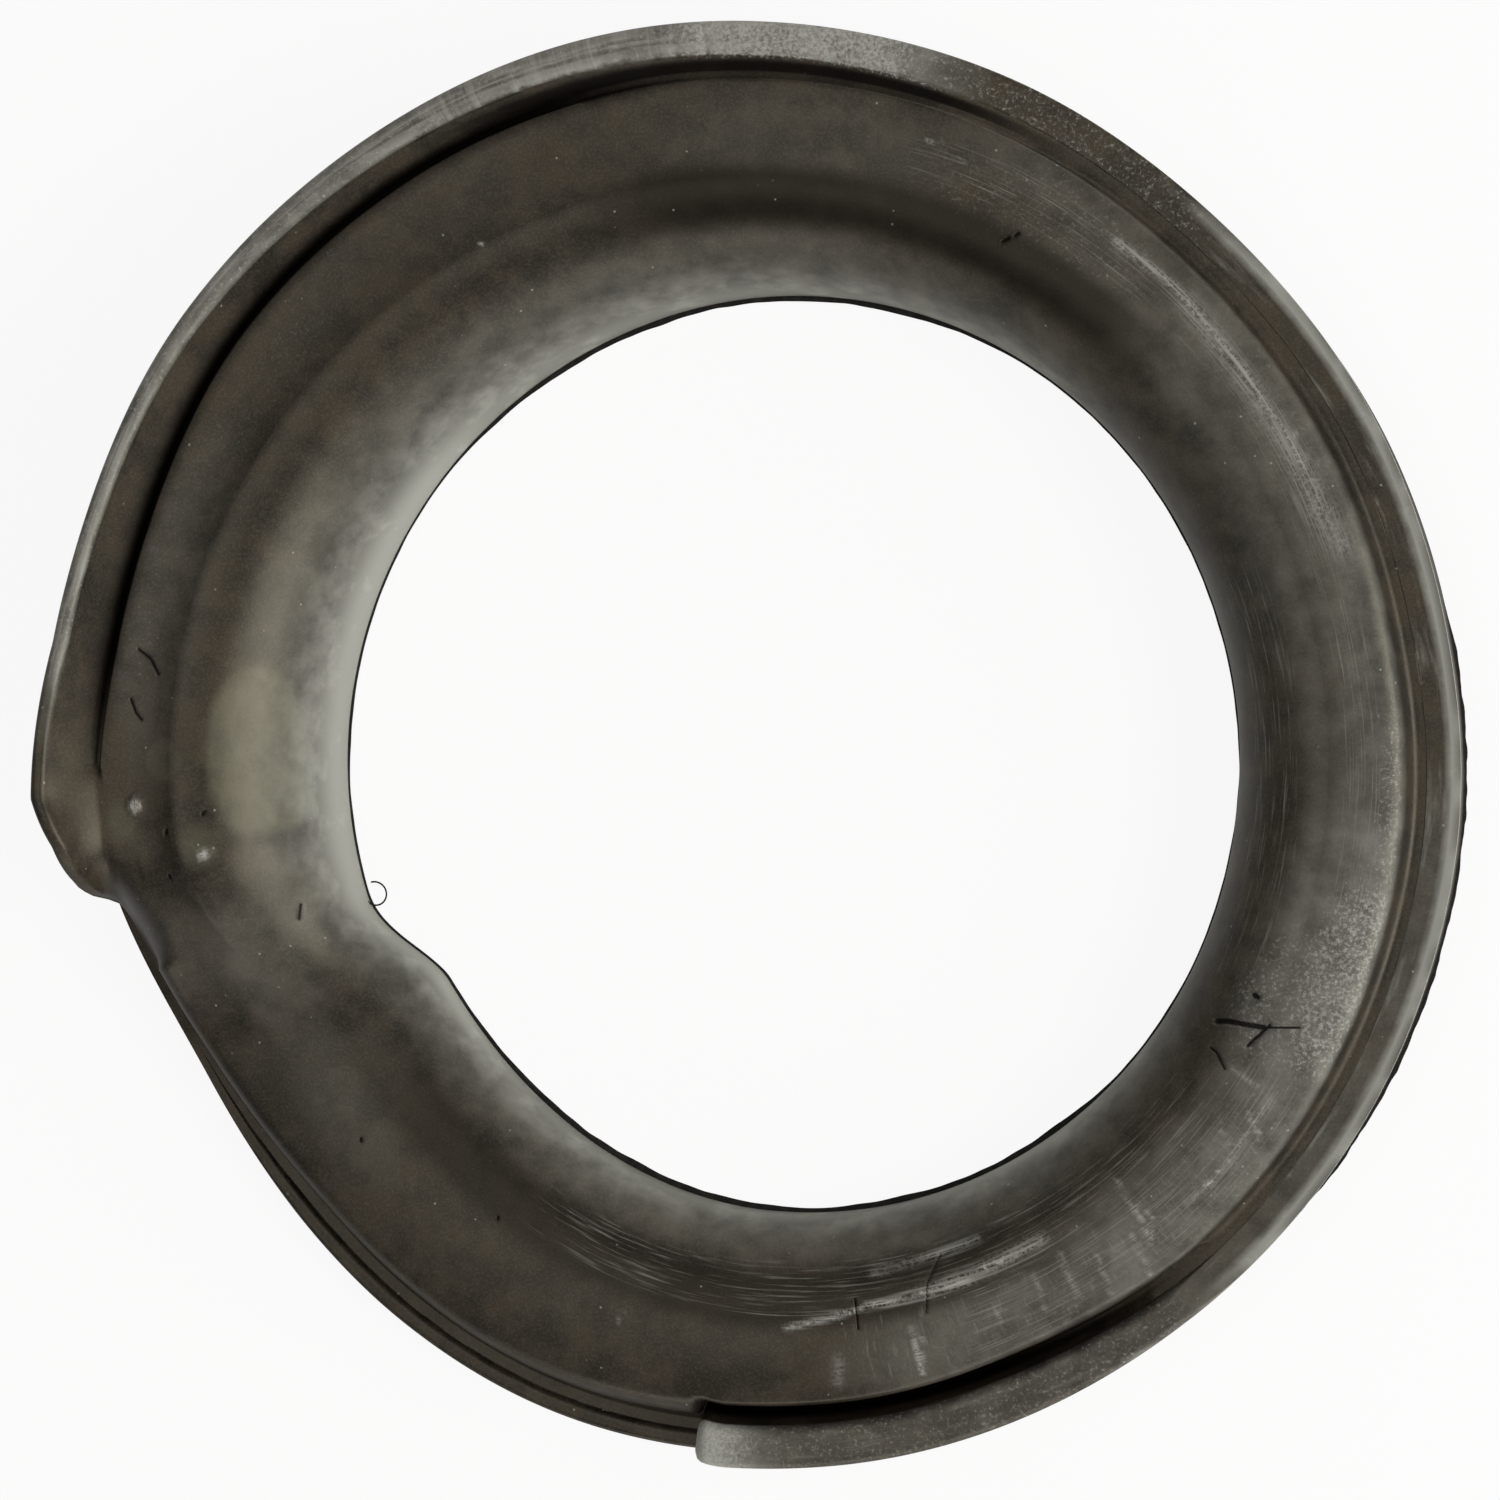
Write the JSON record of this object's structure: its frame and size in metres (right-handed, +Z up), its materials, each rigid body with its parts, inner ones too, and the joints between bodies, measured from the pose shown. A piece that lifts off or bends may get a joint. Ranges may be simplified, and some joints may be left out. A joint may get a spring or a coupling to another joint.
{
  "type": "coil spring insulator",
  "caption": "Moulded rubber ring that seats the end coil of a car's suspension spring, with a helical seat, a step stop and a retaining outer lip.",
  "frame": {"origin": "Centre of the ring's outline on the flat underside. The bore's axis is parallel to Z and 3.5 mm from the origin towards +X.", "axes": "+Z is up, out of the seat side. +Y points to the side where the rim runs level with the seat. The step and the rim's end lie towards -X, and the lip's slit end towards -Y."},
  "size_m": [0.1552, 0.1584, 0.0254],
  "materials": {
    "rubber": "moulded satin black rubber, aged, with pale bloom and rub marks"
  },
  "bodies": {
    "root": {"spring_insulator": "rubber"}
  },
  "joints": []
}
